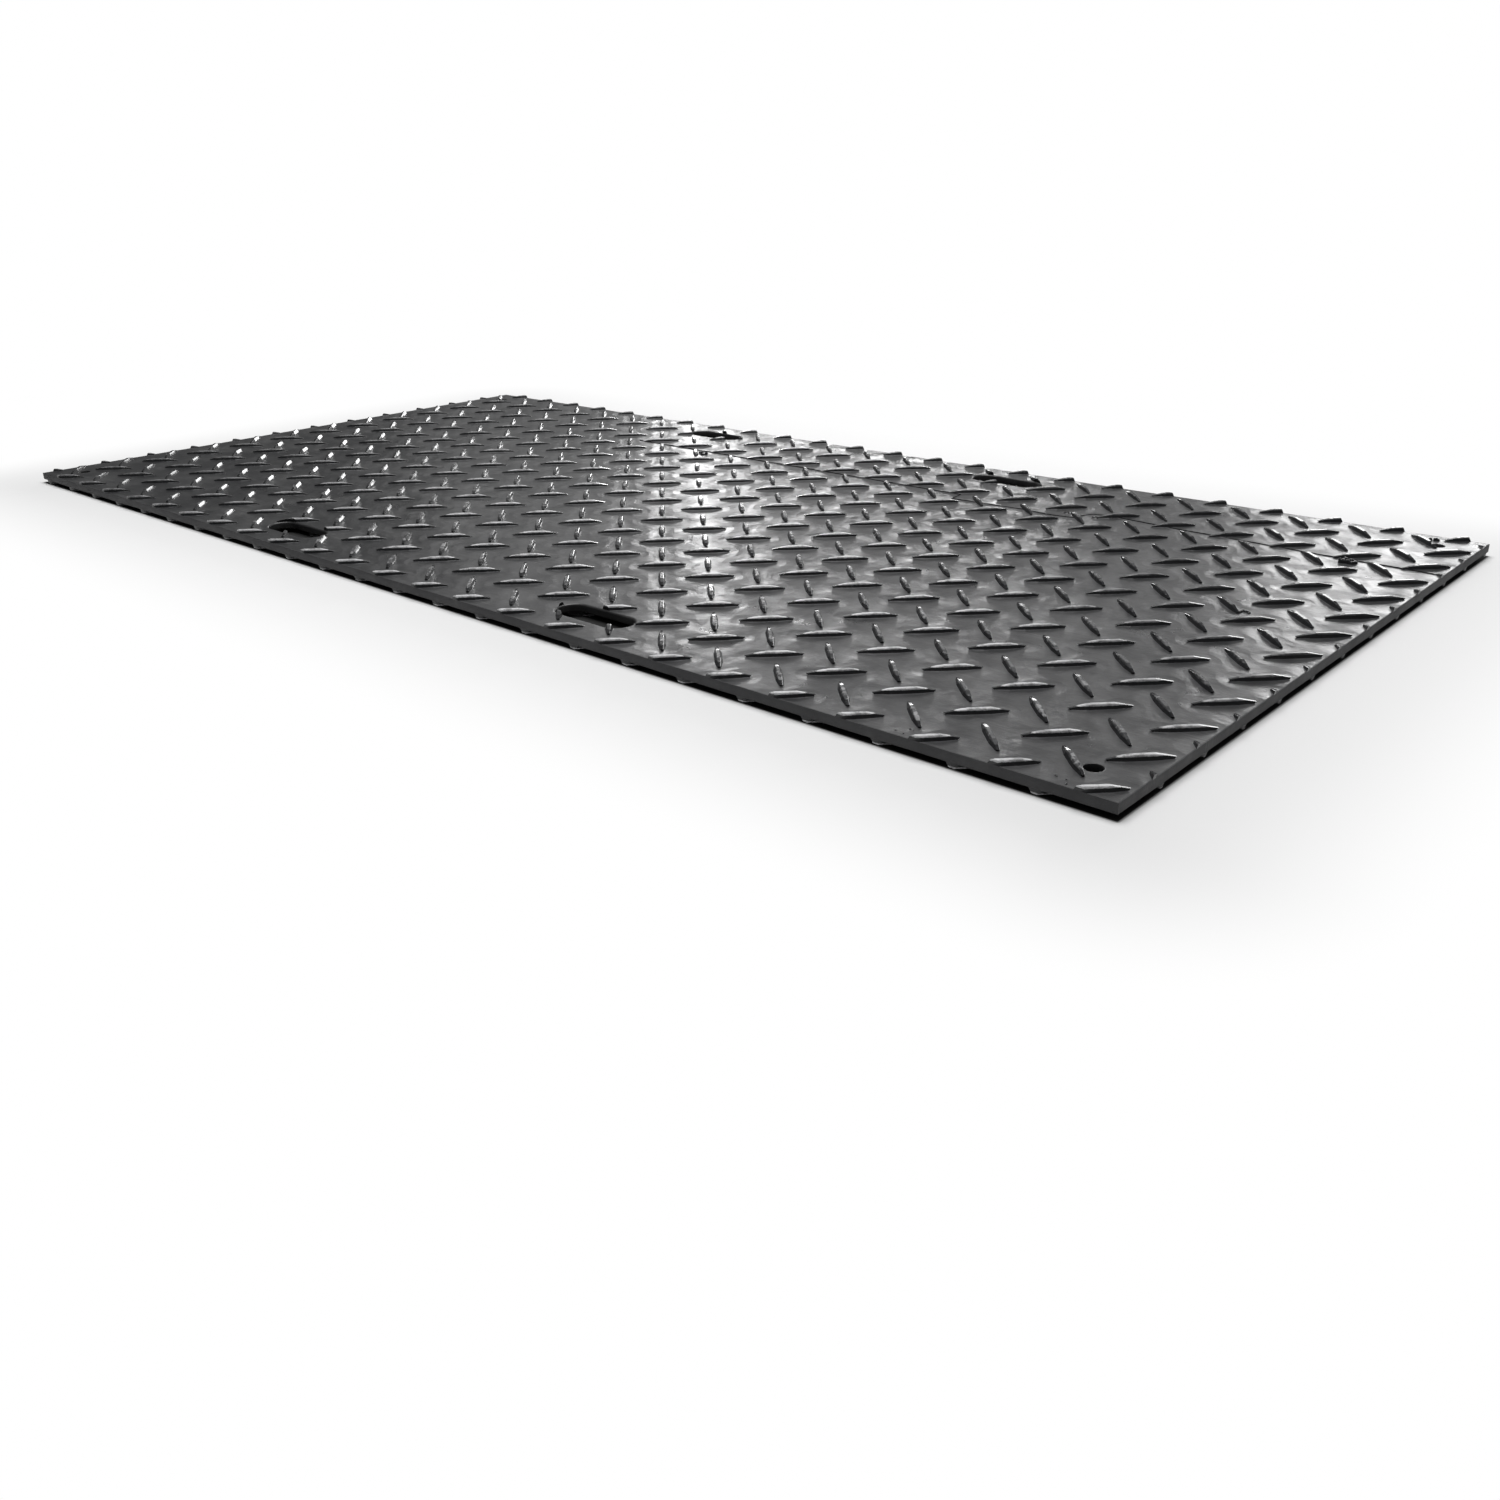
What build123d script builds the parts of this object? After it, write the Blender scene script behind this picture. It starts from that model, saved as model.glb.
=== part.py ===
"""Ground protection mat: one compression-moulded polyethylene sheet with four hand slots,
a connector hole in each corner and a raised bar tread. Millimetres, +Z up. X runs along
the sheet and Y across it. The sheet lies flat on Z = 0 with its tread upward."""

import os
from math import ceil, cos, floor, radians

from build123d import *

# Sheet
length = 2440.0
width = 1220.0
thickness = 12.7

# Hand slots, a pair along each long edge
slot_length = 140.0
slot_width = 50.0
slot_rim = 3.0
slot_spacing = 760.0
slot_from_edge = 78.0

# Connector holes, one in each corner
hole_diameter = 22.0
hole_inset = 60.0

# Tread bar: six-sided at the foot, with steep flanks, a flat land and sloping ends
bar_length = 72.0
bar_width = 12.0
bar_shoulders = 37.0
land_length = 32.0
land_width = 6.5
tread_height = 5.0

# Tread pattern: bars leaning left and right alternate on a square grid
tread_pitch = 101.0
bar_angle = 45.0
tread_from_end = 84.0
tread_from_side = 60.0
smallest_offcut = 3.0

# A tilted bar's reach along X or Y from its centre
bar_reach = bar_length / 2 * cos(radians(bar_angle))
half_pitch = tread_pitch / 2


def grid_line(start, half_span):
    """Places one pitch apart, from one side of the sheet to the other, that a bar reaches in from."""
    limit = half_span + bar_reach - smallest_offcut
    first = ceil((-limit - start) / tread_pitch)
    last = floor((limit - start) / tread_pitch)
    return [start + step * tread_pitch for step in range(first, last + 1)]


def bar_places(shift):
    """Centres of all the bars that lean one way, as a square grid shifted from the first bar."""
    columns = grid_line(length / 2 - tread_from_end + shift, length / 2)
    rows = grid_line(-width / 2 + tread_from_side + shift, width / 2)
    return [(x, y) for x in columns for y in rows]


# Plans of the sheet and of its openings
with BuildSketch() as outline:
    Rectangle(length, width)

with BuildSketch() as slots:
    with GridLocations(slot_spacing, width - 2 * slot_from_edge, 2, 2):
        SlotOverall(slot_length, slot_width)

with BuildSketch() as holes:
    with GridLocations(length - 2 * hole_inset, width - 2 * hole_inset, 2, 2):
        Circle(hole_diameter / 2)

# Where the tread stands: the sheet without its holes, its slots and their sloping rims
with BuildSketch() as tread_area:
    add(outline.sketch)
    add(holes.sketch, mode=Mode.SUBTRACT)
    with GridLocations(slot_spacing, width - 2 * slot_from_edge, 2, 2):
        SlotOverall(slot_length + 2 * slot_rim, slot_width + 2 * slot_rim, mode=Mode.SUBTRACT)

# One tread bar, standing on Z = 0 along X
foot = [(bar_length / 2, 0), (bar_shoulders / 2, bar_width / 2), (bar_shoulders / 2, -bar_width / 2)]
land = [(land_length / 2, land_width / 2), (land_length / 2, -land_width / 2)]
half_bar = [(x, y, 0) for x, y in foot] + [(x, y, tread_height) for x, y in land]
bar = ConvexPolyhedron(half_bar + [(-x, y, z) for x, y, z in half_bar])

# The tread: both sets of bars, cut off at the sheet's edges and round its openings
with BuildPart() as tread:
    with Locations(*bar_places(0)):
        add(bar, rotation=(0, 0, -bar_angle), clean=False)
    with Locations(*bar_places(half_pitch)):
        add(bar, rotation=(0, 0, bar_angle), clean=False)
    add(tread_area.sketch)
    extrude(amount=2 * tread_height, both=True, mode=Mode.INTERSECT, clean=False)

# The sheet, with its slot rims eased, moulded in one with its tread
with BuildPart() as mat:
    add(outline.sketch)
    extrude(amount=thickness)
    add(slots.sketch)
    extrude(amount=thickness, mode=Mode.SUBTRACT)
    rims = [wire for face in mat.faces().filter_by(Axis.Z) for wire in face.inner_wires()]
    chamfer([edge for rim in rims for edge in rim.edges()], slot_rim)
    add(holes.sketch)
    extrude(amount=thickness, mode=Mode.SUBTRACT)
    with Locations((0, 0, thickness)):
        add(tread.part, clean=False)

mat.part.label = "mat"
os.makedirs("parts", exist_ok=True)
export_step(mat.part, "parts/mat.step")
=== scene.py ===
import math
import random

import bmesh
import bpy
from mathutils import Euler, Matrix, Vector, noise
from mathutils.geometry import delaunay_2d_cdt


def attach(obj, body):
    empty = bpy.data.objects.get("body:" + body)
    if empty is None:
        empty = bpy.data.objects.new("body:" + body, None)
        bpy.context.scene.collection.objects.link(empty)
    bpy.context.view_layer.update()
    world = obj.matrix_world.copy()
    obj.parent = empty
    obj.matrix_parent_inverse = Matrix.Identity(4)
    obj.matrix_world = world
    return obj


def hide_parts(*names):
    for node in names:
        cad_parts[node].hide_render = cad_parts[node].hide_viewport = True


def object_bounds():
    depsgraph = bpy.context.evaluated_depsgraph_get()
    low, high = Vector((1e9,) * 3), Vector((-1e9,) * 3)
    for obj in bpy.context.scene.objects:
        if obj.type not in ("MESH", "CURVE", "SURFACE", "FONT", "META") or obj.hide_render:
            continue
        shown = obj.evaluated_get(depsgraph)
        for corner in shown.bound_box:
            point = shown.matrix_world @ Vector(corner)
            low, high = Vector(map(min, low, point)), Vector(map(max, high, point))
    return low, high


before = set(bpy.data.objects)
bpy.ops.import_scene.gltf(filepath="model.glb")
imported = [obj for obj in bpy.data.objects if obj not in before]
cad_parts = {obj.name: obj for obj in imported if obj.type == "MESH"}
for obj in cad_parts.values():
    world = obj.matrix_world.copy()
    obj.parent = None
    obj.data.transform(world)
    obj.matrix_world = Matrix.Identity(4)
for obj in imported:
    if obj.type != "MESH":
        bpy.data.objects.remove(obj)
cad_low, cad_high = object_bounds()

# The sheet: one pressed slab of black polyethylene, sawn square along all four edges after it
# leaves the press. Its hand slots are pressed with rounded rims, and a connector hole is
# drilled in each corner.

length = cad_high.x - cad_low.x
width = cad_high.y - cad_low.y
thickness = 0.0127

slot_length = 0.140
slot_width = 0.050
slot_straight = slot_length - slot_width
slot_radius = slot_width / 2
slot_rim = 0.003
slot_x = 0.380
slot_y = width / 2 - 0.078
hole_radius = 0.011
hole_rim = 0.0006
hole_x = length / 2 - 0.060
hole_y = width / 2 - 0.060

sawn_rim = 0.0004
sawn_wobble = 0.0003
sawn_wobble_reach = 0.03
edge_step = 0.008
fill_step = 0.024
fill_clearance = 0.006
support = 0.0015
swell_height = 0.0005
swell_reach = 0.16


def swell(x, y):
    """How far the pressed sheet rises or dips at a place, as no large moulding is quite flat."""
    broad = noise.noise(Vector((x, y, 0.3)) / swell_reach)
    fine = noise.noise(Vector((x, y, 7.1)) / (swell_reach / 3))
    fine_share = 0.35
    return swell_height * (broad + fine_share * fine)


def slot_loop(centre, offset, straight, radius, arc_steps, straight_steps):
    """Points round a slot with round ends, grown by an offset. A hole has no straight part."""
    points = []
    for side in (1, -1):
        for step in range(arc_steps):
            turn = math.pi * (step / arc_steps - 0.5)
            reach = radius + offset
            across = side * (straight / 2 + reach * math.cos(turn))
            points.append((centre[0] + across, centre[1] + side * reach * math.sin(turn)))
        for step in range(straight_steps):
            along = straight * (0.5 - step / straight_steps)
            points.append((centre[0] + side * along, centre[1] + side * (radius + offset)))
    return points


def edge_loop(inset):
    """Points round the sheet's outline, moved in from the edge, with the saw's slight wobble."""
    half_x = length / 2
    half_y = width / 2
    corners = [(-half_x, -half_y), (half_x, -half_y), (half_x, half_y), (-half_x, half_y)]
    points = []
    for start, end in zip(corners, corners[1:] + corners[:1]):
        run = Vector(end) - Vector(start)
        steps = round(run.length / edge_step)
        for step in range(steps):
            place = Vector(start) + run * (step / steps)
            spot = Vector((place.x, place.y, 2.0)) / sawn_wobble_reach
            wobble = sawn_wobble * abs(noise.noise(spot))
            shrink_x = 1 - (inset + wobble) / half_x
            shrink_y = 1 - (inset + wobble) / half_y
            points.append((place.x * shrink_x, place.y * shrink_y))
    return points


def rim_profile(rim, steps):
    """Offsets and heights down a wall of the sheet: flat, rounded, straight, rounded, flat."""
    upper = [(rim + support, thickness)]
    for step in range(steps + 1):
        turn = math.pi / 2 * step / steps
        upper.append((rim * (1 - math.sin(turn)), thickness - rim * (1 - math.cos(turn))))
    return upper + [(offset, thickness - height) for offset, height in reversed(upper)]


def add_wall(mesh, loops):
    """Joins loops of points, from the upper face to the lower, into a strip of quads."""
    rings = []
    for points, height in loops:
        rings.append([mesh.verts.new((x, y, height + swell(x, y))) for x, y in points])
    faces = []
    for upper, lower in zip(rings, rings[1:]):
        for i in range(len(upper)):
            j = (i + 1) % len(upper)
            faces.append(mesh.faces.new((upper[i], upper[j], lower[j], lower[i])))
    return rings[0], rings[-1], faces


def inside_slot(x, y, centre, straight, radius):
    """Whether a place lies inside a slot with round ends."""
    beyond = max(abs(x - centre[0]) - straight / 2, 0)
    return math.hypot(beyond, y - centre[1]) < radius


def fill_face(mesh, outer, openings, clearings, height):
    """Fills one face of the sheet between its outer ring and the rings of its openings."""
    ring_verts = []
    edges = []
    for ring in [outer] + openings:
        first = len(ring_verts)
        ring_verts += ring
        edges += [(first + i, first + (i + 1) % len(ring)) for i in range(len(ring))]
    places = [Vector((v.co.x, v.co.y)) for v in ring_verts]
    columns = round(length / fill_step)
    rows = round(width / fill_step)
    for i in range(1, columns):
        for j in range(1, rows):
            x = length * (i / columns - 0.5)
            y = width * (j / rows - 0.5)
            if not any(inside_slot(x, y, c, s, r + fill_clearance) for c, s, r in clearings):
                places.append(Vector((x, y)))
    flat, _, faces, origins, _, _ = delaunay_2d_cdt(places, edges, [], 1, 1e-7)
    verts = []
    for place, origin in zip(flat, origins):
        if origin and origin[0] < len(ring_verts):
            verts.append(ring_verts[origin[0]])
        else:
            verts.append(mesh.verts.new((place.x, place.y, height + swell(place.x, place.y))))
    for face in faces:
        middle = sum((flat[i] for i in face), Vector((0, 0))) / len(face)
        if not any(inside_slot(middle.x, middle.y, c, s, r) for c, s, r in clearings):
            mesh.faces.new([verts[i] for i in face])


slot_centres = [(x, y) for x in (-slot_x, slot_x) for y in (-slot_y, slot_y)]
hole_centres = [(x, y) for x in (-hole_x, hole_x) for y in (-hole_y, hole_y)]

sheet_mesh = bmesh.new()
outer_top, outer_bottom, sawn_faces = add_wall(
    sheet_mesh, [(edge_loop(inset), height) for inset, height in rim_profile(sawn_rim, 2)]
)
openings_top = []
openings_bottom = []
clearings = []
for centre in slot_centres:
    loops = [
        (slot_loop(centre, offset, slot_straight, slot_radius, 20, 10), height)
        for offset, height in rim_profile(slot_rim, 6)
    ]
    top, bottom, _ = add_wall(sheet_mesh, loops)
    openings_top.append(top)
    openings_bottom.append(bottom)
    clearings.append((centre, slot_straight, slot_radius + slot_rim + support))
for centre in hole_centres:
    loops = [
        (slot_loop(centre, offset, 0.0, hole_radius, 20, 1), height)
        for offset, height in rim_profile(hole_rim, 2)
    ]
    top, bottom, _ = add_wall(sheet_mesh, loops)
    openings_top.append(top)
    openings_bottom.append(bottom)
    clearings.append((centre, 0.0, hole_radius + hole_rim + support))
# The sheet's second finish is the sawn one
for face in sawn_faces:
    face.material_index = 1
fill_face(sheet_mesh, outer_top, openings_top, clearings, thickness)
fill_face(sheet_mesh, outer_bottom, openings_bottom, clearings, 0.0)
bmesh.ops.remove_doubles(sheet_mesh, verts=sheet_mesh.verts, dist=1e-6)
bmesh.ops.recalc_face_normals(sheet_mesh, faces=sheet_mesh.faces)


sharp_angle = math.radians(38)


def finished_piece(mesh, name):
    """A smooth-shaded object made from a mesh, with its corners left sharp."""
    data = bpy.data.meshes.new(name)
    mesh.to_mesh(data)
    mesh.free()
    data.shade_smooth()
    data.set_sharp_from_angle(angle=sharp_angle)
    piece = bpy.data.objects.new(name, data)
    bpy.context.scene.collection.objects.link(piece)
    return piece


sheet = finished_piece(sheet_mesh, "sheet")


def tree_tools(tree):
    """Short ways to add and join the nodes of one tree."""
    nodes = tree.nodes
    links = tree.links

    def calc(operation, *values):
        node = nodes.new("ShaderNodeMath")
        node.operation = operation
        for socket, value in zip(node.inputs, values):
            if isinstance(value, (int, float)):
                socket.default_value = value
            else:
                links.new(value, socket)
        return node.outputs["Value"]

    def vector_calc(operation, *values):
        node = nodes.new("ShaderNodeVectorMath")
        node.operation = operation
        for socket, value in zip(node.inputs, values):
            if isinstance(value, tuple):
                socket.default_value = value
            else:
                links.new(value, socket)
        return node.outputs["Value" if operation in ("LENGTH", "DOT_PRODUCT") else "Vector"]

    def ranged(value, low, high, to_low, to_high, kind="LINEAR"):
        node = nodes.new("ShaderNodeMapRange")
        node.interpolation_type = kind
        node.inputs["From Min"].default_value = low
        node.inputs["From Max"].default_value = high
        node.inputs["To Min"].default_value = to_low
        node.inputs["To Max"].default_value = to_high
        links.new(value, node.inputs["Value"])
        return node.outputs["Result"]

    def clouds(place, scale, detail, roughness=0.5, stretch=(1, 1, 1), turn=0):
        mapping = nodes.new("ShaderNodeMapping")
        mapping.inputs["Scale"].default_value = stretch
        mapping.inputs["Rotation"].default_value = (0, 0, math.radians(turn))
        links.new(place, mapping.inputs["Vector"])
        node = nodes.new("ShaderNodeTexNoise")
        node.inputs["Scale"].default_value = scale
        node.inputs["Detail"].default_value = detail
        node.inputs["Roughness"].default_value = roughness
        links.new(mapping.outputs["Vector"], node.inputs["Vector"])
        return node.outputs["Fac"]

    return calc, vector_calc, ranged, clouds


def handled_surface():
    """The marks that handling leaves on black polyethylene, shared by all its finishes."""
    tree = bpy.data.node_groups.new("handled_surface", "ShaderNodeTree")
    face = tree.interface
    face.new_socket("Colour", in_out="INPUT", socket_type="NodeSocketColor")
    face.new_socket("Scuffed Colour", in_out="INPUT", socket_type="NodeSocketColor")
    face.new_socket("Roughness", in_out="INPUT", socket_type="NodeSocketFloat")
    face.new_socket("Mottle", in_out="INPUT", socket_type="NodeSocketFloat")
    face.new_socket("Scuffs", in_out="INPUT", socket_type="NodeSocketFloat")
    face.new_socket("Wave Height", in_out="INPUT", socket_type="NodeSocketFloat")
    face.new_socket("Grain Height", in_out="INPUT", socket_type="NodeSocketFloat")
    face.new_socket("Scratch Depth", in_out="INPUT", socket_type="NodeSocketFloat")
    face.new_socket("Colour", in_out="OUTPUT", socket_type="NodeSocketColor")
    face.new_socket("Roughness", in_out="OUTPUT", socket_type="NodeSocketFloat")
    face.new_socket("Height", in_out="OUTPUT", socket_type="NodeSocketFloat")
    nodes = tree.nodes
    links = tree.links
    given = nodes.new("NodeGroupInput")
    out = nodes.new("NodeGroupOutput")
    place = nodes.new("ShaderNodeTexCoord").outputs["Object"]
    calc, _, ranged, clouds = tree_tools(tree)

    # Masks: broad patches of wear, long drag scratches two ways, hatching and small pits
    patches = ranged(clouds(place, 9.0, 5.0, 0.65, turn=75), 0.45, 0.70, 0.0, 1.0)
    drag_one = ranged(clouds(place, 3.0, 4.0, 0.5, (3, 110, 1), 28), 0.60, 0.70, 0.0, 1.0)
    drag_two = ranged(clouds(place, 3.0, 4.0, 0.5, (4, 150, 1), -52), 0.62, 0.72, 0.0, 1.0)
    hatching = clouds(place, 8.0, 2.0, 0.5, (6, 90, 1), 68)
    drags = calc("MULTIPLY", calc("MAXIMUM", drag_one, drag_two), calc("ADD", patches, 0.25))
    specks = ranged(clouds(place, 420.0, 1.0), 0.74, 0.80, 0.0, 1.0)
    pits = ranged(clouds(place, 170.0, 0.0), 0.20, 0.14, 0.0, 1.0)
    mottle = calc("SUBTRACT", clouds(place, 26.0, 7.0, 0.68), 0.5)
    haze = calc("SUBTRACT", clouds(place, 3.2, 3.0, 0.55, turn=40), 0.5)

    # Colour: scuffs, specks and worn patches are paler than the plastic
    marks = calc("MAXIMUM", drags, specks)
    cloudy = calc("ADD", calc("MULTIPLY", mottle, 1.6), calc("MULTIPLY", hatching, 0.35))
    film = calc("MULTIPLY", calc("ADD", calc("MULTIPLY", patches, 1.6), cloudy), 0.30)
    worn = calc("MULTIPLY", calc("ADD", marks, film), given.outputs["Scuffs"])
    worn = calc("MINIMUM", calc("MAXIMUM", worn, 0.0), 1.0)
    blend = nodes.new("ShaderNodeMix")
    blend.data_type = "RGBA"
    links.new(worn, blend.inputs["Factor"])
    links.new(given.outputs["Colour"], blend.inputs["A"])
    links.new(given.outputs["Scuffed Colour"], blend.inputs["B"])
    links.new(blend.outputs["Result"], out.inputs["Colour"])

    # Roughness: mottled all over, and rougher where it is scuffed
    spread = calc("ADD", mottle, calc("MULTIPLY", haze, 0.6))
    rough = calc("MULTIPLY_ADD", spread, given.outputs["Mottle"], given.outputs["Roughness"])
    rough = calc("MULTIPLY_ADD", worn, 0.15, rough)
    links.new(calc("MAXIMUM", rough, 0.12), out.inputs["Roughness"])

    # Height in metres: slow waves, fine grain, then scratches and pits cut in
    waves = calc("MULTIPLY", clouds(place, 13.0, 4.0, 0.5, turn=15), given.outputs["Wave Height"])
    grain = calc("ADD", clouds(place, 520.0, 3.0, 0.6), calc("MULTIPLY", hatching, 0.8))
    grain = calc("MULTIPLY", grain, given.outputs["Grain Height"])
    cuts = calc("MULTIPLY", calc("ADD", drags, pits), given.outputs["Scratch Depth"])
    links.new(calc("SUBTRACT", calc("ADD", waves, grain), cuts), out.inputs["Height"])
    return tree


surface_marks = handled_surface()


def polyethylene(name, colour, scuffed, shares):
    """A finish of the one black plastic, with its own share of each mark."""
    material = bpy.data.materials.new(name)
    material.use_nodes = True
    nodes = material.node_tree.nodes
    links = material.node_tree.links
    shader = nodes["Principled BSDF"]
    shader.inputs["IOR"].default_value = 1.50
    marks = nodes.new("ShaderNodeGroup")
    marks.name = "marks"
    marks.node_tree = surface_marks
    marks.inputs["Colour"].default_value = (*colour, 1.0)
    marks.inputs["Scuffed Colour"].default_value = (*scuffed, 1.0)
    for socket, value in shares.items():
        marks.inputs[socket].default_value = value
    relief = nodes.new("ShaderNodeBump")
    relief.name = "relief"
    relief.inputs["Strength"].default_value = 1.0
    relief.inputs["Distance"].default_value = 1.0
    links.new(marks.outputs["Height"], relief.inputs["Height"])
    links.new(marks.outputs["Colour"], shader.inputs["Base Color"])
    links.new(marks.outputs["Roughness"], shader.inputs["Roughness"])
    links.new(relief.outputs["Normal"], shader.inputs["Normal"])
    return material


# Where the tread's bars stand on the sheet, and the plan of one bar
tread_pitch = 0.101
tread_from_end = 0.084
tread_from_side = 0.060
bar_end = 0.0355
bar_shoulder = 0.0178
bar_half_foot = 0.0047
bar_taper = 0.14
diagonal = 0.7071


def bar_surrounds():
    """What lies near a bar of the upper face, and the hollow that cooling draws in there."""
    tree = bpy.data.node_groups.new("bar_surrounds", "ShaderNodeTree")
    face = tree.interface
    face.new_socket("Pitch", in_out="INPUT", socket_type="NodeSocketFloat")
    face.new_socket("First Bar", in_out="INPUT", socket_type="NodeSocketVector")
    face.new_socket("Near", in_out="OUTPUT", socket_type="NodeSocketFloat")
    face.new_socket("Height", in_out="OUTPUT", socket_type="NodeSocketFloat")
    given = tree.nodes.new("NodeGroupInput")
    out = tree.nodes.new("NodeGroupOutput")
    place = tree.nodes.new("ShaderNodeTexCoord").outputs["Object"]
    calc, vector_calc, ranged, clouds = tree_tools(tree)
    half_pitch = calc("MULTIPLY", given.outputs["Pitch"], 0.5)
    cell_high = tree.nodes.new("ShaderNodeCombineXYZ")
    cell_low = tree.nodes.new("ShaderNodeCombineXYZ")
    for axis in ("X", "Y", "Z"):
        tree.links.new(half_pitch, cell_high.inputs[axis])
        tree.links.new(calc("MULTIPLY", half_pitch, -1.0), cell_low.inputs[axis])

    # Distance to the nearest bar of each lean in turn, each in a repeated square cell
    moved = vector_calc("SUBTRACT", place, given.outputs["First Bar"])
    nearest = None
    for along in ((-diagonal, diagonal, 0), (diagonal, diagonal, 0)):
        across = (along[1], -along[0], 0)
        cell = vector_calc("WRAP", moved, cell_high.outputs["Vector"], cell_low.outputs["Vector"])
        run = calc("ABSOLUTE", vector_calc("DOT_PRODUCT", cell, along))
        side = calc("ABSOLUTE", vector_calc("DOT_PRODUCT", cell, across))
        over = calc("MAXIMUM", calc("SUBTRACT", run, bar_end), 0.0)
        half = calc("MAXIMUM", calc("SUBTRACT", run, bar_shoulder), 0.0)
        half = calc("MULTIPLY_ADD", half, -bar_taper, bar_half_foot)
        away = calc("MAXIMUM", calc("SUBTRACT", side, half), 0.0)
        squares = calc("ADD", calc("MULTIPLY", over, over), calc("MULTIPLY", away, away))
        distance = calc("SQRT", squares)
        nearest = distance if nearest is None else calc("MINIMUM", nearest, distance)
        moved = vector_calc("SUBTRACT", moved, cell_high.outputs["Vector"])

    # Both fade out over an uneven distance, given in metres
    ripple = calc("MULTIPLY_ADD", clouds(place, 22.0, 3.0), 0.040, -0.020)
    spread = calc("ADD", nearest, ripple)
    tree.links.new(ranged(spread, 0.004, 0.028, 1.0, 0.0, "SMOOTHSTEP"), out.inputs["Near"])
    hollow = ranged(spread, 0.001, 0.026, -0.0008, 0.0, "SMOOTHSTEP")
    tree.links.new(hollow, out.inputs["Height"])
    return tree


pressed_finish = polyethylene(
    "pressed_polyethylene",
    (0.032, 0.0325, 0.034),
    (0.13, 0.13, 0.13),
    {
        "Roughness": 0.34,
        "Mottle": 0.36,
        "Scuffs": 0.75,
        "Wave Height": 0.0026,
        "Grain Height": 0.00014,
        "Scratch Depth": 0.00006,
    },
)


def add_bar_surrounds(material):
    """Leaves the mould's gloss round each bar in a finish, and adds the hollows to its relief."""
    nodes = material.node_tree.nodes
    links = material.node_tree.links
    shader = nodes["Principled BSDF"]
    marks = nodes["marks"]
    around = nodes.new("ShaderNodeGroup")
    around.node_tree = bar_surrounds()
    around.inputs["Pitch"].default_value = tread_pitch
    first_bar = (length / 2 - tread_from_end, -width / 2 + tread_from_side, 0.0)
    around.inputs["First Bar"].default_value = first_bar
    calc = tree_tools(material.node_tree)[0]
    gloss_share = 0.28
    gloss = calc("MULTIPLY", around.outputs["Near"], gloss_share)
    links.new(gloss, shader.inputs["Coat Weight"])
    shader.inputs["Coat Roughness"].default_value = 0.15
    links.new(nodes["relief"].outputs["Normal"], shader.inputs["Coat Normal"])
    height = calc("ADD", marks.outputs["Height"], around.outputs["Height"])
    links.new(height, nodes["relief"].inputs["Height"])


add_bar_surrounds(pressed_finish)
sawn_finish = polyethylene(
    "sawn_polyethylene",
    (0.030, 0.030, 0.032),
    (0.12, 0.12, 0.12),
    {
        "Roughness": 0.60,
        "Mottle": 0.40,
        "Scuffs": 0.50,
        "Wave Height": 0.0006,
        "Grain Height": 0.00020,
        "Scratch Depth": 0.00010,
    },
)
sheet.data.materials.append(pressed_finish)
sheet.data.materials.append(sawn_finish)
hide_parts("mat")
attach(sheet, "root")

# The tread: bars of the same polyethylene, pressed in one with the sheet on both its faces, with
# steep flanks, flat tops painted pale, partly as wear from feet and tracks and partly as a
# painted highlight, and ends that slope to blunt tips.
# They lean left and right in turn on a square grid, and the saw and the slots cut through them.

bar_width = 0.0096
bar_tip = 0.0050
bar_narrowest = 0.0004
tip_outset = 0.45

# Along a bar: the place, the height of its top there and whether it has its full width
bar_stations = [
    (-bar_end, 0.0018, False),
    (-bar_shoulder, 0.0054, True),
    (-0.0122, 0.0057, True),
    (-0.0114, 0.0062, True),
    (0.0160, 0.0062, True),
    (bar_end, 0.0018, False),
]

# Up a bar: how far the fillet, the flank or the shoulder stands out, and its share of the height
bar_profile = [
    (0.0008, 0.00),
    (0.0002, 0.05),
    (0.0000, 0.10),
    (-0.0019, 0.88),
    (-0.0027, 1.00),
]
bar_fillet_rings = 3
bar_root = -0.0002
bar_reach = 0.0360
bar_angle = math.radians(45)
bar_angle_error = math.radians(0.7)
saw_gap = 0.0001
plug_reach = 0.02
plug_rim_share = 0.8
uneven_share = 0.05
uneven_reach = 0.05
cut_angle = math.radians(60)


def bar_ring(mesh, outset, share):
    """Twelve points round a bar at one step of its profile, lower towards its two tips."""
    side = []
    for along, top, full in bar_stations:
        half = bar_width / 2 if full else bar_tip / 2
        reach = along if full else along + math.copysign(outset, along)
        across = half + (outset if full else outset * tip_outset)
        height = top * share if share > 0 else bar_root
        side.append((reach, max(across, bar_narrowest), height))
    ring = side + [(x, -y, z) for x, y, z in reversed(side)]
    return [mesh.verts.new(point) for point in ring]


bar_mesh = bmesh.new()
bar_rings = [bar_ring(bar_mesh, outset, share) for outset, share in bar_profile]
points_round = len(bar_rings[0])
for lower, upper in zip(bar_rings, bar_rings[1:]):
    for i in range(points_round):
        j = (i + 1) % points_round
        bar_mesh.faces.new((lower[i], lower[j], upper[j], upper[i]))
land = bar_rings[-1]
for i in range(len(bar_stations) - 1):
    j = points_round - 1 - i
    bar_mesh.faces.new((land[i], land[i + 1], land[j - 1], land[j]))
bar_mesh.faces.new(list(reversed(bar_rings[0])))
bmesh.ops.recalc_face_normals(bar_mesh, faces=bar_mesh.faces)
ring_of = {vert: i for i, ring in enumerate(bar_rings) for vert in ring}
for edge in bar_mesh.edges:
    first, second = (ring_of[vert] for vert in edge.verts)
    edge.smooth = first == second and first < bar_fillet_rings
bar_data = bpy.data.meshes.new("tread_bar")
bar_mesh.to_mesh(bar_data)
bar_mesh.free()
bar_data.shade_smooth()
bar = bpy.data.objects.new("tread_bar", bar_data)
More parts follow.
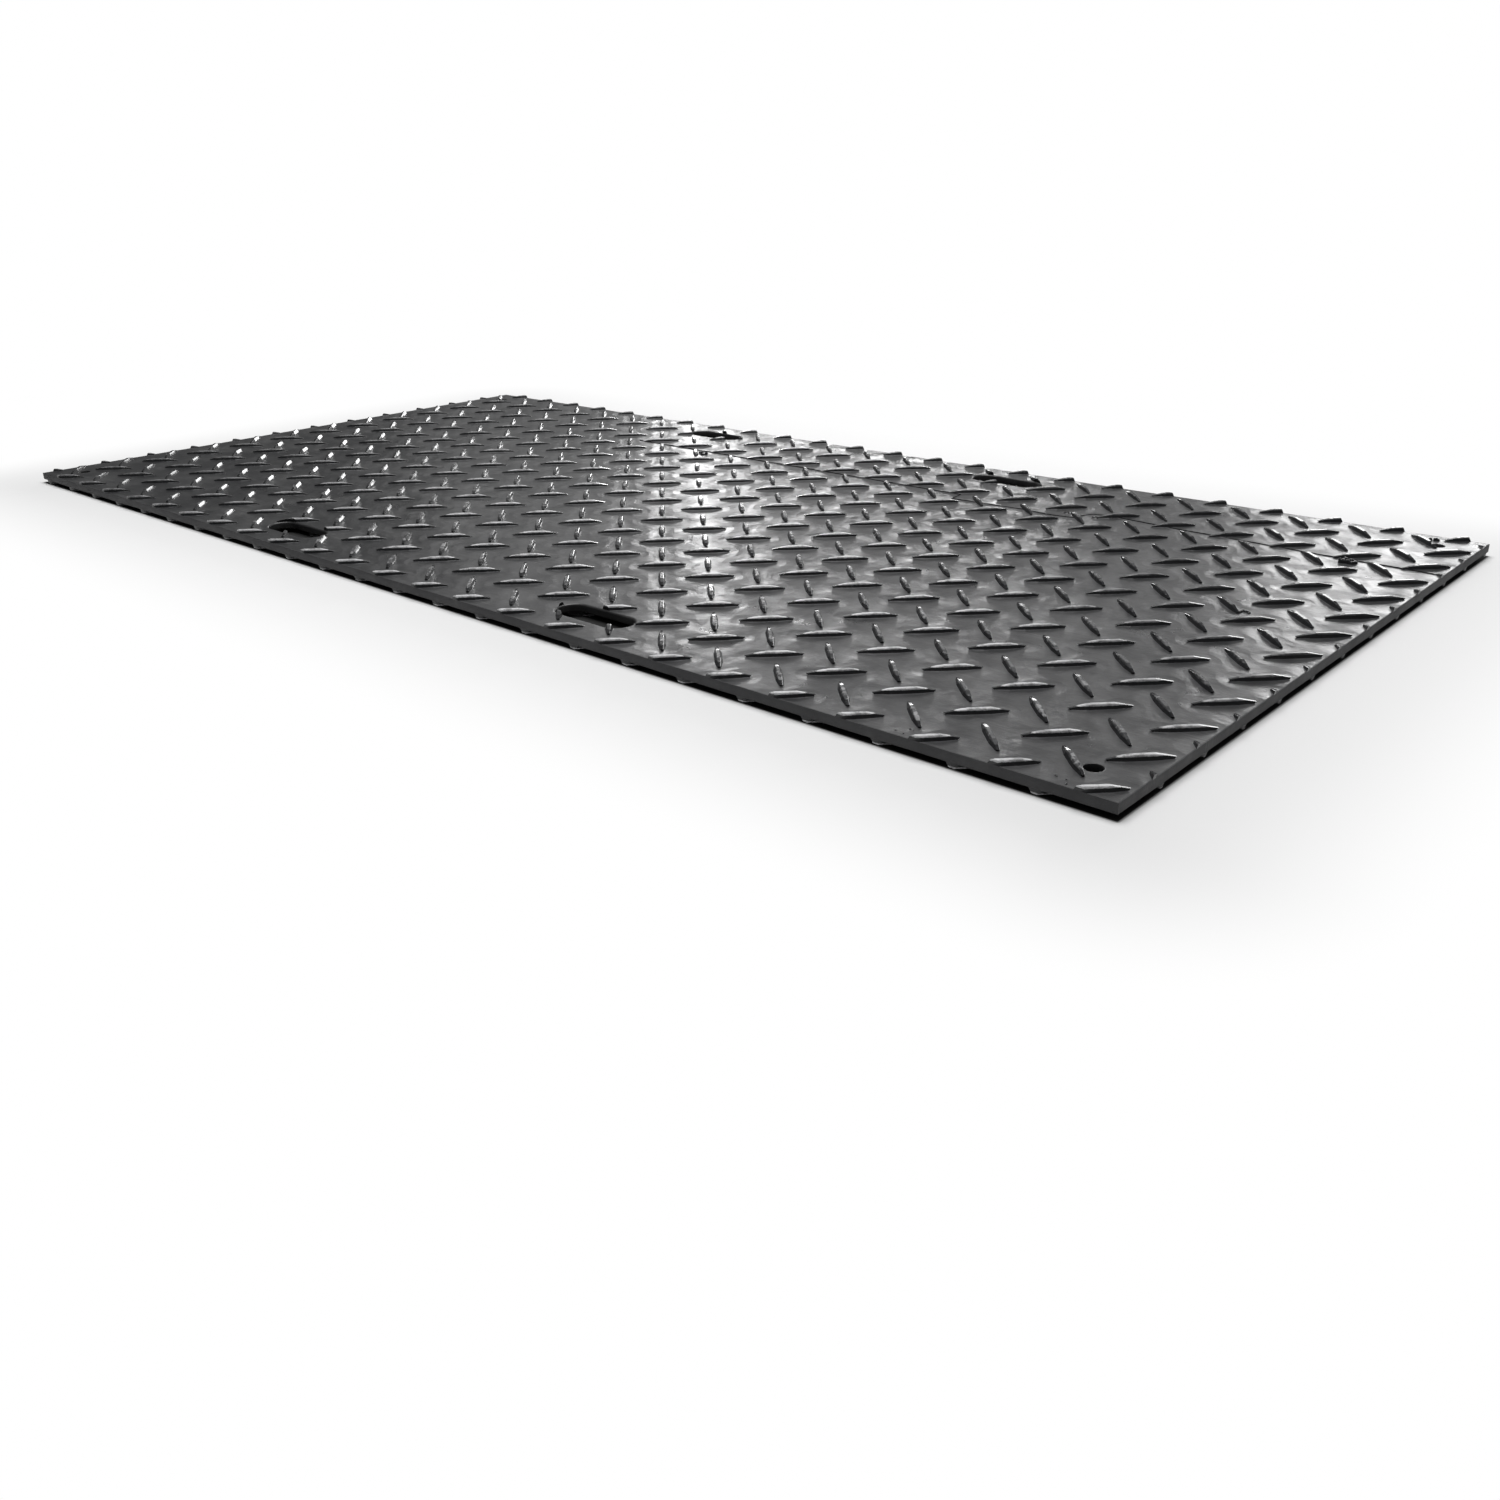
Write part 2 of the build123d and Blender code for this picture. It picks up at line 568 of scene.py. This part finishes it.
bpy.context.scene.collection.objects.link(bar)


def worn_and_highlit_tops():
    """Where the bars' tops are painted paler, partly as wear from feet and tracks and partly as a
    painted highlight: over their tops, and less towards the tips.
    """
    tree = bpy.data.node_groups.new("worn_and_highlit_tops", "ShaderNodeTree")
    face = tree.interface
    face.new_socket("Colour", in_out="INPUT", socket_type="NodeSocketColor")
    face.new_socket("Rubbed Colour", in_out="INPUT", socket_type="NodeSocketColor")
    face.new_socket("Roughness", in_out="INPUT", socket_type="NodeSocketFloat")
    face.new_socket("Rubbed Roughness", in_out="INPUT", socket_type="NodeSocketFloat")
    face.new_socket("Share", in_out="INPUT", socket_type="NodeSocketFloat")
    face.new_socket("Middle", in_out="INPUT", socket_type="NodeSocketFloat")
    face.new_socket("Start", in_out="INPUT", socket_type="NodeSocketFloat")
    face.new_socket("Depth", in_out="INPUT", socket_type="NodeSocketFloat")
    face.new_socket("Colour", in_out="OUTPUT", socket_type="NodeSocketColor")
    face.new_socket("Roughness", in_out="OUTPUT", socket_type="NodeSocketFloat")
    nodes = tree.nodes
    links = tree.links
    given = nodes.new("NodeGroupInput")
    out = nodes.new("NodeGroupOutput")
    calc, vector_calc, ranged, clouds = tree_tools(tree)
    place = nodes.new("ShaderNodeTexCoord").outputs["Object"]
    parted = nodes.new("ShaderNodeSeparateXYZ")
    links.new(place, parted.inputs["Vector"])

    # Paler above a height on either face, as wear and as a painted highlight, with brush marks
    # along
    #     # both sets of bars
    height = calc("ABSOLUTE", calc("SUBTRACT", parted.outputs["Z"], given.outputs["Middle"]))
    height = calc("SUBTRACT", height, given.outputs["Start"])
    reach = calc("DIVIDE", height, given.outputs["Depth"])
    brushed = clouds(place, 60.0, 5.0, 0.65, (1, 6, 1), 45)
    brushed_too = clouds(place, 60.0, 5.0, 0.65, (6, 1, 1), 45)
    streaks = calc("MAXIMUM", brushed, brushed_too)
    amount = calc("ADD", reach, calc("MULTIPLY", calc("SUBTRACT", streaks, 0.60), 1.3))
    amount = ranged(amount, 0.35, 0.85, 0.0, 1.0, "SMOOTHSTEP")

    # Kept in spots where the share is small, and less towards the far side and the left end; the
    #     # share given to each lean and this fading are painted highlight only
    blotch = ranged(clouds(place, 60.0, 5.0, 0.7), 0.38, 0.56, 0.45, 1.0)
    patchy = ranged(clouds(place, 90.0, 2.0, 0.6), 0.50, 0.60, 0.0, 1.0)
    kept = calc("MAXIMUM", given.outputs["Share"], calc("MULTIPLY", patchy, 0.45))
    amount = calc("MULTIPLY", amount, kept)
    far_side = vector_calc("DOT_PRODUCT", place, (0.6, 0.8, 0.0))
    amount = calc("MULTIPLY", amount, ranged(far_side, 0.25, 0.70, 1.0, 0.12, "SMOOTHSTEP"))
    amount = calc("MULTIPLY", amount, ranged(parted.outputs["X"], -0.9, -0.2, 0.30, 1.0))
    amount = calc("MULTIPLY", amount, blotch)
    blend = nodes.new("ShaderNodeMix")
    blend.data_type = "RGBA"
    links.new(amount, blend.inputs["Factor"])
    links.new(given.outputs["Colour"], blend.inputs["A"])
    links.new(given.outputs["Rubbed Colour"], blend.inputs["B"])
    links.new(blend.outputs["Result"], out.inputs["Colour"])
    change = calc("SUBTRACT", given.outputs["Rubbed Roughness"], given.outputs["Roughness"])
    rough = calc("MULTIPLY_ADD", change, amount, given.outputs["Roughness"])
    links.new(rough, out.inputs["Roughness"])
    return tree


wear_and_highlight_marks = worn_and_highlit_tops()
# Height above the middle of the sheet where the tops start to turn pale, as wear and as a painted
# highlight, and over what depth
wear_and_highlight_start = 0.0030
wear_and_highlight_depth = 0.0014


def tread_finish(name, share):
    """Black polyethylene, glossy on the flanks of the bars, with tops painted silver partly as
    wear and partly as a painted highlight.
    """
    material = polyethylene(
        name,
        (0.014, 0.0145, 0.016),
        (0.10, 0.10, 0.10),
        {
            "Roughness": 0.18,
            "Mottle": 0.10,
            "Scuffs": 0.20,
            "Wave Height": 0.0,
            "Grain Height": 0.00002,
            "Scratch Depth": 0.00002,
        },
    )
    nodes = material.node_tree.nodes
    links = material.node_tree.links
    shader = nodes["Principled BSDF"]
    marks = nodes["marks"]
    wear_and_highlight = nodes.new("ShaderNodeGroup")
    wear_and_highlight.node_tree = wear_and_highlight_marks
    wear_and_highlight.inputs["Share"].default_value = share
    # Pale silver tops: partly worn plastic, partly a painted highlight
    wear_and_highlight.inputs["Rubbed Colour"].default_value = (0.70, 0.70, 0.71, 1.0)
    wear_and_highlight.inputs["Rubbed Roughness"].default_value = 0.34
    wear_and_highlight.inputs["Middle"].default_value = thickness / 2
    wear_and_highlight.inputs["Start"].default_value = thickness / 2 + wear_and_highlight_start
    wear_and_highlight.inputs["Depth"].default_value = wear_and_highlight_depth
    links.new(marks.outputs["Colour"], wear_and_highlight.inputs["Colour"])
    links.new(marks.outputs["Roughness"], wear_and_highlight.inputs["Roughness"])
    links.new(wear_and_highlight.outputs["Colour"], shader.inputs["Base Color"])
    links.new(wear_and_highlight.outputs["Roughness"], shader.inputs["Roughness"])
    return material


# The lengthwise bars keep a small share of the pale tops and the crosswise bars all of it: a
# painted highlight, as one lean catches the light and the other does not
land_finishes = [tread_finish("tread_lengthwise", 0.12), tread_finish("tread_crosswise", 1.0)]


def tread_tree():
    """Geometry nodes that set one bar on each crossing of a square grid."""
    tree = bpy.data.node_groups.new("tread_pattern", "GeometryNodeTree")
    face = tree.interface
    face.new_socket("Bar", in_out="INPUT", socket_type="NodeSocketObject")
    face.new_socket("Finish", in_out="INPUT", socket_type="NodeSocketMaterial")
    face.new_socket("Columns", in_out="INPUT", socket_type="NodeSocketInt")
    face.new_socket("Rows", in_out="INPUT", socket_type="NodeSocketInt")
    face.new_socket("Pitch", in_out="INPUT", socket_type="NodeSocketFloat")
    face.new_socket("Middle", in_out="INPUT", socket_type="NodeSocketVector")
    face.new_socket("Lean", in_out="INPUT", socket_type="NodeSocketFloat")
    face.new_socket("Seed", in_out="INPUT", socket_type="NodeSocketInt")
    face.new_socket("Geometry", in_out="OUTPUT", socket_type="NodeSocketGeometry")
    nodes = tree.nodes
    links = tree.links
    given = nodes.new("NodeGroupInput")
    out = nodes.new("NodeGroupOutput")
    grid = nodes.new("GeometryNodeMeshGrid")
    for axis, count in (("X", "Columns"), ("Y", "Rows")):
        gaps = nodes.new("ShaderNodeMath")
        gaps.operation = "SUBTRACT"
        links.new(given.outputs[count], gaps.inputs[0])
        gaps.inputs[1].default_value = 1.0
        span = nodes.new("ShaderNodeMath")
        span.operation = "MULTIPLY"
        links.new(gaps.outputs[0], span.inputs[0])
        links.new(given.outputs["Pitch"], span.inputs[1])
        links.new(span.outputs[0], grid.inputs["Size " + axis])
        links.new(given.outputs[count], grid.inputs["Vertices " + axis])
    move = nodes.new("GeometryNodeTransform")
    links.new(grid.outputs["Mesh"], move.inputs["Geometry"])
    links.new(given.outputs["Middle"], move.inputs["Translation"])
    jitter = nodes.new("FunctionNodeRandomValue")
    jitter.data_type = "FLOAT"
    jitter.inputs[2].default_value = -bar_angle_error
    jitter.inputs[3].default_value = bar_angle_error
    links.new(given.outputs["Seed"], jitter.inputs["Seed"])
    lean = nodes.new("ShaderNodeMath")
    lean.operation = "ADD"
    links.new(given.outputs["Lean"], lean.inputs[0])
    links.new(jitter.outputs[1], lean.inputs[1])
    turn = nodes.new("ShaderNodeCombineXYZ")
    links.new(lean.outputs[0], turn.inputs["Z"])
    source = nodes.new("GeometryNodeObjectInfo")
    links.new(given.outputs["Bar"], source.inputs["Object"])
    set_bars = nodes.new("GeometryNodeInstanceOnPoints")
    links.new(move.outputs["Geometry"], set_bars.inputs["Points"])
    links.new(source.outputs["Geometry"], set_bars.inputs["Instance"])
    links.new(turn.outputs["Vector"], set_bars.inputs["Rotation"])
    real = nodes.new("GeometryNodeRealizeInstances")
    links.new(set_bars.outputs["Instances"], real.inputs["Geometry"])
    dress = nodes.new("GeometryNodeSetMaterial")
    links.new(real.outputs["Geometry"], dress.inputs["Geometry"])
    links.new(given.outputs["Finish"], dress.inputs["Material"])
    links.new(dress.outputs["Geometry"], out.inputs["Geometry"])
    return tree


tread_pattern = tread_tree()


def grid_line(start, half_span):
    """First place and number of places, one pitch apart, from which a bar reaches the sheet."""
    reach = bar_reach * math.cos(bar_angle)
    first = math.ceil((-half_span - reach - start) / tread_pitch)
    last = math.floor((half_span + reach - start) / tread_pitch)
    return start + first * tread_pitch, last - first + 1


def lay_bars(shift_x, shift_y, lean, finish, seed):
    """All the bars of one lean as a plain mesh, standing on Z = 0."""
    first_x, columns = grid_line(length / 2 - tread_from_end + shift_x, length / 2)
    first_y, rows = grid_line(-width / 2 + tread_from_side + shift_y, width / 2)
    holder = bpy.data.objects.new("bars", bpy.data.meshes.new("bars"))
    bpy.context.scene.collection.objects.link(holder)
    modifier = holder.modifiers.new("tread", "NODES")
    modifier.node_group = tread_pattern
    values = {
        "Bar": bar,
        "Finish": land_finishes[finish],
        "Columns": columns,
        "Rows": rows,
        "Pitch": tread_pitch,
        "Middle": (
            first_x + (columns - 1) * tread_pitch / 2,
            first_y + (rows - 1) * tread_pitch / 2,
            0.0,
        ),
        "Lean": lean,
        "Seed": seed,
    }
    for socket in tread_pattern.interface.items_tree:
        if socket.in_out == "INPUT":
            modifier[socket.identifier] = values[socket.name]
    seen = holder.evaluated_get(bpy.context.evaluated_depsgraph_get())
    laid = bpy.data.meshes.new_from_object(seen)
    bpy.data.objects.remove(holder)
    for face in laid.polygons:
        face.material_index = finish
    return laid


def cut_along_edges(mesh):
    """Saws off what stands over the sheet's outline and closes the cuts."""
    for axis, reach in ((Vector((1, 0, 0)), length / 2), (Vector((0, 1, 0)), width / 2)):
        for side in (1, -1):
            cut = bmesh.ops.bisect_plane(
                mesh,
                geom=mesh.verts[:] + mesh.edges[:] + mesh.faces[:],
                plane_co=axis * side * (reach - saw_gap),
                plane_no=axis * side,
                clear_outer=True,
            )
            cut_edges = [item for item in cut["geom_cut"] if isinstance(item, bmesh.types.BMEdge)]
            rims = [edge for edge in cut_edges if edge.is_boundary]
            bmesh.ops.holes_fill(mesh, edges=rims, sides=0)


def opening_cutters():
    """Plugs about as wide as the slots' and holes' rims, to clear the bars out of them."""
    plugs = bmesh.new()
    slot_reach = slot_radius + slot_rim * plug_rim_share
    shapes = [(c, slot_straight, slot_reach) for c in slot_centres]
    shapes += [(c, 0.0, hole_radius + hole_rim) for c in hole_centres]
    for centre, straight, radius in shapes:
        loop = slot_loop(centre, 0.0, straight, radius, 20, 1)
        floor_ring = [plugs.verts.new((x, y, -plug_reach)) for x, y in loop]
        roof_ring = [plugs.verts.new((x, y, plug_reach)) for x, y in loop]
        plugs.faces.new(list(reversed(floor_ring)))
        plugs.faces.new(roof_ring)
        for i in range(len(loop)):
            j = (i + 1) % len(loop)
            plugs.faces.new((floor_ring[i], floor_ring[j], roof_ring[j], roof_ring[i]))
    bmesh.ops.remove_doubles(plugs, verts=plugs.verts, dist=1e-6)
    bmesh.ops.recalc_face_normals(plugs, faces=plugs.faces)
    data = bpy.data.meshes.new("plugs")
    plugs.to_mesh(data)
    plugs.free()
    cutter = bpy.data.objects.new("plugs", data)
    bpy.context.scene.collection.objects.link(cutter)
    return cutter


def tread(name, shift_x, underside, seed):
    """One face's tread: laid, sawn along the edges, cleared from the openings and seated."""
    joined = bmesh.new()
    half = tread_pitch / 2
    joined.from_mesh(lay_bars(shift_x, 0.0, -bar_angle, 0, seed))
    joined.from_mesh(lay_bars(shift_x + half, half, bar_angle, 1, seed + 1))
    cut_along_edges(joined)
    data = bpy.data.meshes.new(name)
    joined.to_mesh(data)
    joined.free()
    for finish in land_finishes:
        data.materials.append(finish)
    rough_tread = bpy.data.objects.new(name, data)
    bpy.context.scene.collection.objects.link(rough_tread)
    clear = rough_tread.modifiers.new("openings", "BOOLEAN")
    clear.operation = "DIFFERENCE"
    clear.solver = "EXACT"
    cutter = opening_cutters()
    clear.object = cutter
    seen = rough_tread.evaluated_get(bpy.context.evaluated_depsgraph_get())
    cleared = bpy.data.meshes.new_from_object(seen)
    bpy.data.objects.remove(rough_tread)
    bpy.data.objects.remove(cutter)
    seated = bmesh.new()
    seated.from_mesh(cleared)
    for vert in seated.verts:
        x, y, z = vert.co
        uneven = 1 + uneven_share * noise.noise(Vector((x, y, seed)) / uneven_reach)
        lift = swell(x, y)
        vert.co.z = lift - z * uneven if underside else thickness + lift + z * uneven
    if underside:
        bmesh.ops.reverse_faces(seated, faces=seated.faces)
    seated.normal_update()
    for edge in seated.edges:
        if edge.is_manifold and edge.calc_face_angle() > cut_angle:
            edge.smooth = False
    data = bpy.data.meshes.new(name)
    seated.to_mesh(data)
    seated.free()
    piece = bpy.data.objects.new(name, data)
    bpy.context.scene.collection.objects.link(piece)
    for finish in land_finishes:
        piece.data.materials.append(finish)
    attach(piece, "root")
    return piece


tread("upper_tread", shift_x=0.0, underside=False, seed=3)
lower_tread = tread("lower_tread", shift_x=tread_pitch / 2, underside=True, seed=11)
bpy.data.objects.remove(bar)

# Flash and lumps: a ridge and beads of the same polyethylene, left on the upper face where the
# mould's inserts and pins let a little through. They were never trimmed off.

bead_points = 10
bead_foot = 0.0003
seam_step = 0.015
seam_wander = 0.0012


def add_bead(mesh, x, y, radius, height):
    """A low dome of flash, with its foot just under the face of the sheet."""
    rings = []
    for reach, rise in ((1.0, -bead_foot), (0.86, height * 0.45), (0.50, height * 0.90)):
        ring = []
        for step in range(bead_points):
            turn = 2 * math.pi * step / bead_points
            out = radius * reach * (1 + 0.12 * math.sin(3 * turn + x * 900))
            place = (x + out * math.cos(turn), y + out * math.sin(turn))
            ring.append(mesh.verts.new((*place, thickness + swell(x, y) + rise)))
        rings.append(ring)
    tip = mesh.verts.new((x, y, thickness + swell(x, y) + height))
    mesh.faces.new(list(reversed(rings[0])))
    for lower, upper in zip(rings, rings[1:]):
        for i in range(bead_points):
            j = (i + 1) % bead_points
            mesh.faces.new((lower[i], lower[j], upper[j], upper[i]))
    for i in range(bead_points):
        mesh.faces.new((rings[-1][i], rings[-1][(i + 1) % bead_points], tip))


def add_seam(mesh, path, wide, height):
    """A fine ridge of flash that follows a path over the face of the sheet."""
    spots = []
    for start, end in zip(path, path[1:]):
        run = Vector(end) - Vector(start)
        steps = max(1, round(run.length / seam_step))
        spots += [Vector(start) + run * (step / steps) for step in range(steps)]
    spots.append(Vector(path[-1]))
    rings = []
    for spot in spots:
        wander = seam_wander * noise.noise(Vector((spot.x, spot.y, 4.0)) / 0.03)
        rise = height * (1 + 0.4 * noise.noise(Vector((spot.x, spot.y, 9.0)) / 0.02))
        level = thickness + swell(spot.x, spot.y)
        foot = level - bead_foot
        y = spot.y + wander
        section = [(y - wide / 2, foot), (y + wide / 2, foot), (y, level + rise)]
        rings.append([mesh.verts.new((spot.x, across, z)) for across, z in section])
    for first, second in zip(rings, rings[1:]):
        for i in range(3):
            j = (i + 1) % 3
            mesh.faces.new((first[i], first[j], second[j], second[i]))
    mesh.faces.new(list(reversed(rings[0])))
    mesh.faces.new(rings[-1])


chance = random.Random(5)
flash_mesh = bmesh.new()
seam_path = [
    (-0.475, 0.385),
    (0.376, 0.384),
    (0.381, 0.346),
    (0.415, 0.349),
    (0.525, 0.356),
    (0.582, 0.351),
    (0.626, 0.358),
    (0.631, 0.388),
    (0.640, 0.400),
    (0.667, 0.406),
    (0.800, 0.395),
    (1.050, 0.386),
    (length / 2 - 0.001, 0.384),
]
add_seam(flash_mesh, seam_path, wide=0.0024, height=0.0014)
pin_bosses = [(0.598, 0.381), (0.653, 0.380)]
for x, y in pin_bosses:
    add_bead(flash_mesh, x, y, radius=0.0070, height=0.0014)
    for step in range(4):
        turn = math.pi / 2 * step
        spot_x = x + 0.004 * math.cos(turn)
        spot_y = y + 0.004 * math.sin(turn)
        add_bead(flash_mesh, spot_x, spot_y, radius=0.0018, height=0.0022)

# Clumps of beads: the place, the number of beads, how far they spread, their size and height
clumps = [
    (1.086, 0.368, 12, 0.011, 0.0045, 0.007),
    (-0.260, 0.363, 6, 0.012, 0.0045, 0.006),
    (1.146, 0.577, 4, 0.006, 0.0040, 0.005),
    (1.064, 0.040, 5, 0.008, 0.0040, 0.003),
    (1.150, -0.598, 4, 0.012, 0.0018, 0.001),
    (0.960, -0.593, 6, 0.020, 0.0016, 0.001),
]
for x, y, count, spread, size, rise in clumps:
    for _ in range(count):
        spot_x = x + chance.uniform(-spread, spread)
        spot_y = y + chance.uniform(-spread, spread) * 0.6
        radius = size * chance.uniform(0.6, 1.0)
        add_bead(flash_mesh, spot_x, spot_y, radius, rise * chance.uniform(0.6, 1.0))
bmesh.ops.recalc_face_normals(flash_mesh, faces=flash_mesh.faces)
flash = finished_piece(flash_mesh, "flash")
# The flash takes the lengthwise bars' finish, so its tallest beads get the same pale tops, part
# wear and part painted highlight
flash.data.materials.append(land_finishes[0])
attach(flash, "root")

# The floor is a wide pale plane under the lowest bars, and no part of the mat. Where the mat
# covers it, its colour is painted near black as painted shade under the mat, so that nothing
# pale shows through the slots, and it fades from the shadow round the mat to the plain white
# of the backdrop.

floor_level = min(v.co.z for v in lower_tread.data.vertices) - 0.0001
floor_reach = 40.0
floor_mesh = bmesh.new()
bmesh.ops.create_grid(floor_mesh, x_segments=1, y_segments=1, size=floor_reach)
for vert in floor_mesh.verts:
    vert.co.z = floor_level
floor_data = bpy.data.meshes.new("floor")
floor_mesh.to_mesh(floor_data)
floor_mesh.free()
floor = bpy.data.objects.new("floor", floor_data)
bpy.context.scene.collection.objects.link(floor)
floor_finish = bpy.data.materials.new("pale_floor")
floor_finish.use_nodes = True
floor_nodes = floor_finish.node_tree.nodes
floor_links = floor_finish.node_tree.links
floor_shader = floor_nodes["Principled BSDF"]
floor_shader.inputs["Roughness"].default_value = 0.9
floor_shader.inputs["Specular IOR Level"].default_value = 0.2
calc, vector_calc, ranged, _ = tree_tools(floor_finish.node_tree)
floor_place = floor_nodes.new("ShaderNodeTexCoord").outputs["Object"]
beyond = vector_calc("SUBTRACT", vector_calc("ABSOLUTE", floor_place), (length / 2, width / 2, 1))
floor_distance = vector_calc("LENGTH", vector_calc("MAXIMUM", beyond, (0, 0, 0)))
# Painted shade: near black inside the mat's outline, the pale floor colour outside it
shade = floor_nodes.new("ShaderNodeMix")
shade.data_type = "RGBA"
floor_links.new(ranged(floor_distance, 0.0, 0.004, 0.0, 1.0), shade.inputs["Factor"])
shade.inputs["A"].default_value = (0.03, 0.03, 0.03, 1.0)
shade.inputs["B"].default_value = (0.90, 0.90, 0.90, 1.0)
floor_links.new(shade.outputs["Result"], floor_shader.inputs["Base Color"])
floor_fade = ranged(floor_distance, 0.02, 0.30, 0.0, 1.0, "SMOOTHSTEP")
ray = floor_nodes.new("ShaderNodeLightPath")
faded = calc("MULTIPLY", floor_fade, ray.outputs["Is Camera Ray"])
white = floor_nodes.new("ShaderNodeEmission")
floor_mix = floor_nodes.new("ShaderNodeMixShader")
floor_links.new(faded, floor_mix.inputs["Fac"])
floor_links.new(floor_shader.outputs["BSDF"], floor_mix.inputs[1])
floor_links.new(white.outputs["Emission"], floor_mix.inputs[2])
floor_links.new(floor_mix.outputs["Shader"], floor_nodes["Material Output"].inputs["Surface"])
floor_data.materials.append(floor_finish)

# Light: a weak even surround, a wide soft lamp overhead, and low lamps behind the mat, whose
# sheen brightens the right end, the whole of the far side and a streak in the middle. The
# backdrop that the camera sees is plain white.

world = bpy.data.worlds.new("surround")
bpy.context.scene.world = world
world.use_nodes = True
world_nodes = world.node_tree.nodes
world_links = world.node_tree.links
seen_by = world_nodes.new("ShaderNodeLightPath")
backdrop = world_nodes["Background"]
backdrop.inputs["Color"].default_value = (1.0, 1.0, 1.0, 1.0)
surround = world_nodes.new("ShaderNodeBackground")
surround.inputs["Color"].default_value = (1.0, 1.0, 1.0, 1.0)
surround.inputs["Strength"].default_value = 0.08
pick = world_nodes.new("ShaderNodeMixShader")
world_links.new(seen_by.outputs["Is Camera Ray"], pick.inputs["Fac"])
world_links.new(surround.outputs["Background"], pick.inputs[1])
world_links.new(backdrop.outputs["Background"], pick.inputs[2])
world_links.new(pick.outputs["Shader"], world_nodes["World Output"].inputs["Surface"])


def soft_lamp(name, heading, height, distance, size, tall, brightness):
    """A rectangular lamp aimed at the middle of the mat, as bright as white times a number."""
    data = bpy.data.lights.new(name, "AREA")
    data.shape = "RECTANGLE"
    data.size = size
    data.size_y = tall
    data.energy = brightness * 4 * size * tall
    lamp = bpy.data.objects.new(name, data)
    rise = math.radians(height)
    side = math.radians(heading)
    lamp.location = (
        distance * math.cos(rise) * math.cos(side),
        distance * math.cos(rise) * math.sin(side),
        distance * math.sin(rise),
    )
    lamp.rotation_euler = (-lamp.location).to_track_quat("-Z", "Y").to_euler()
    bpy.context.scene.collection.objects.link(lamp)


# Each lamp's heading and height in degrees, its distance and two sides in metres, its brightness
soft_lamp("overhead_lamp", 110, 86, 4.5, 3.8, 3.8, 3.9)
soft_lamp("side_lamp", 90, 13, 5.0, 1.5, 1.1, 4.8)
soft_lamp("low_lamp", 122, 4, 8.0, 2.4, 0.75, 9.0)
soft_lamp("far_panel", 126, 25, 6.0, 5.0, 2.6, 0.36)
soft_lamp("gap_lamp", 133.5, 12, 8.0, 0.4, 0.9, 14.0)

# The camera stands where the photograph was taken from, so that the mat's upper face fills the
# same part of a square picture.

camera_place = (1.7558, -1.7406, 0.5893 + thickness)
camera_heading = 42.03
camera_pitch = 23.68
camera_roll = -0.97
camera_data = bpy.data.cameras.new("camera")
camera_data.sensor_width = 36.0
camera_data.lens = 32.83
camera_data.clip_end = 100.0
camera = bpy.data.objects.new("camera", camera_data)
look = Euler((math.radians(90 - camera_pitch), 0, math.radians(camera_heading))).to_matrix()
look = look @ Matrix.Rotation(math.radians(camera_roll), 3, "Z")
camera.matrix_world = Matrix.Translation(camera_place) @ look.to_4x4()
bpy.context.scene.collection.objects.link(camera)
bpy.context.scene.camera = camera
bpy.context.scene.view_settings.view_transform = "Standard"
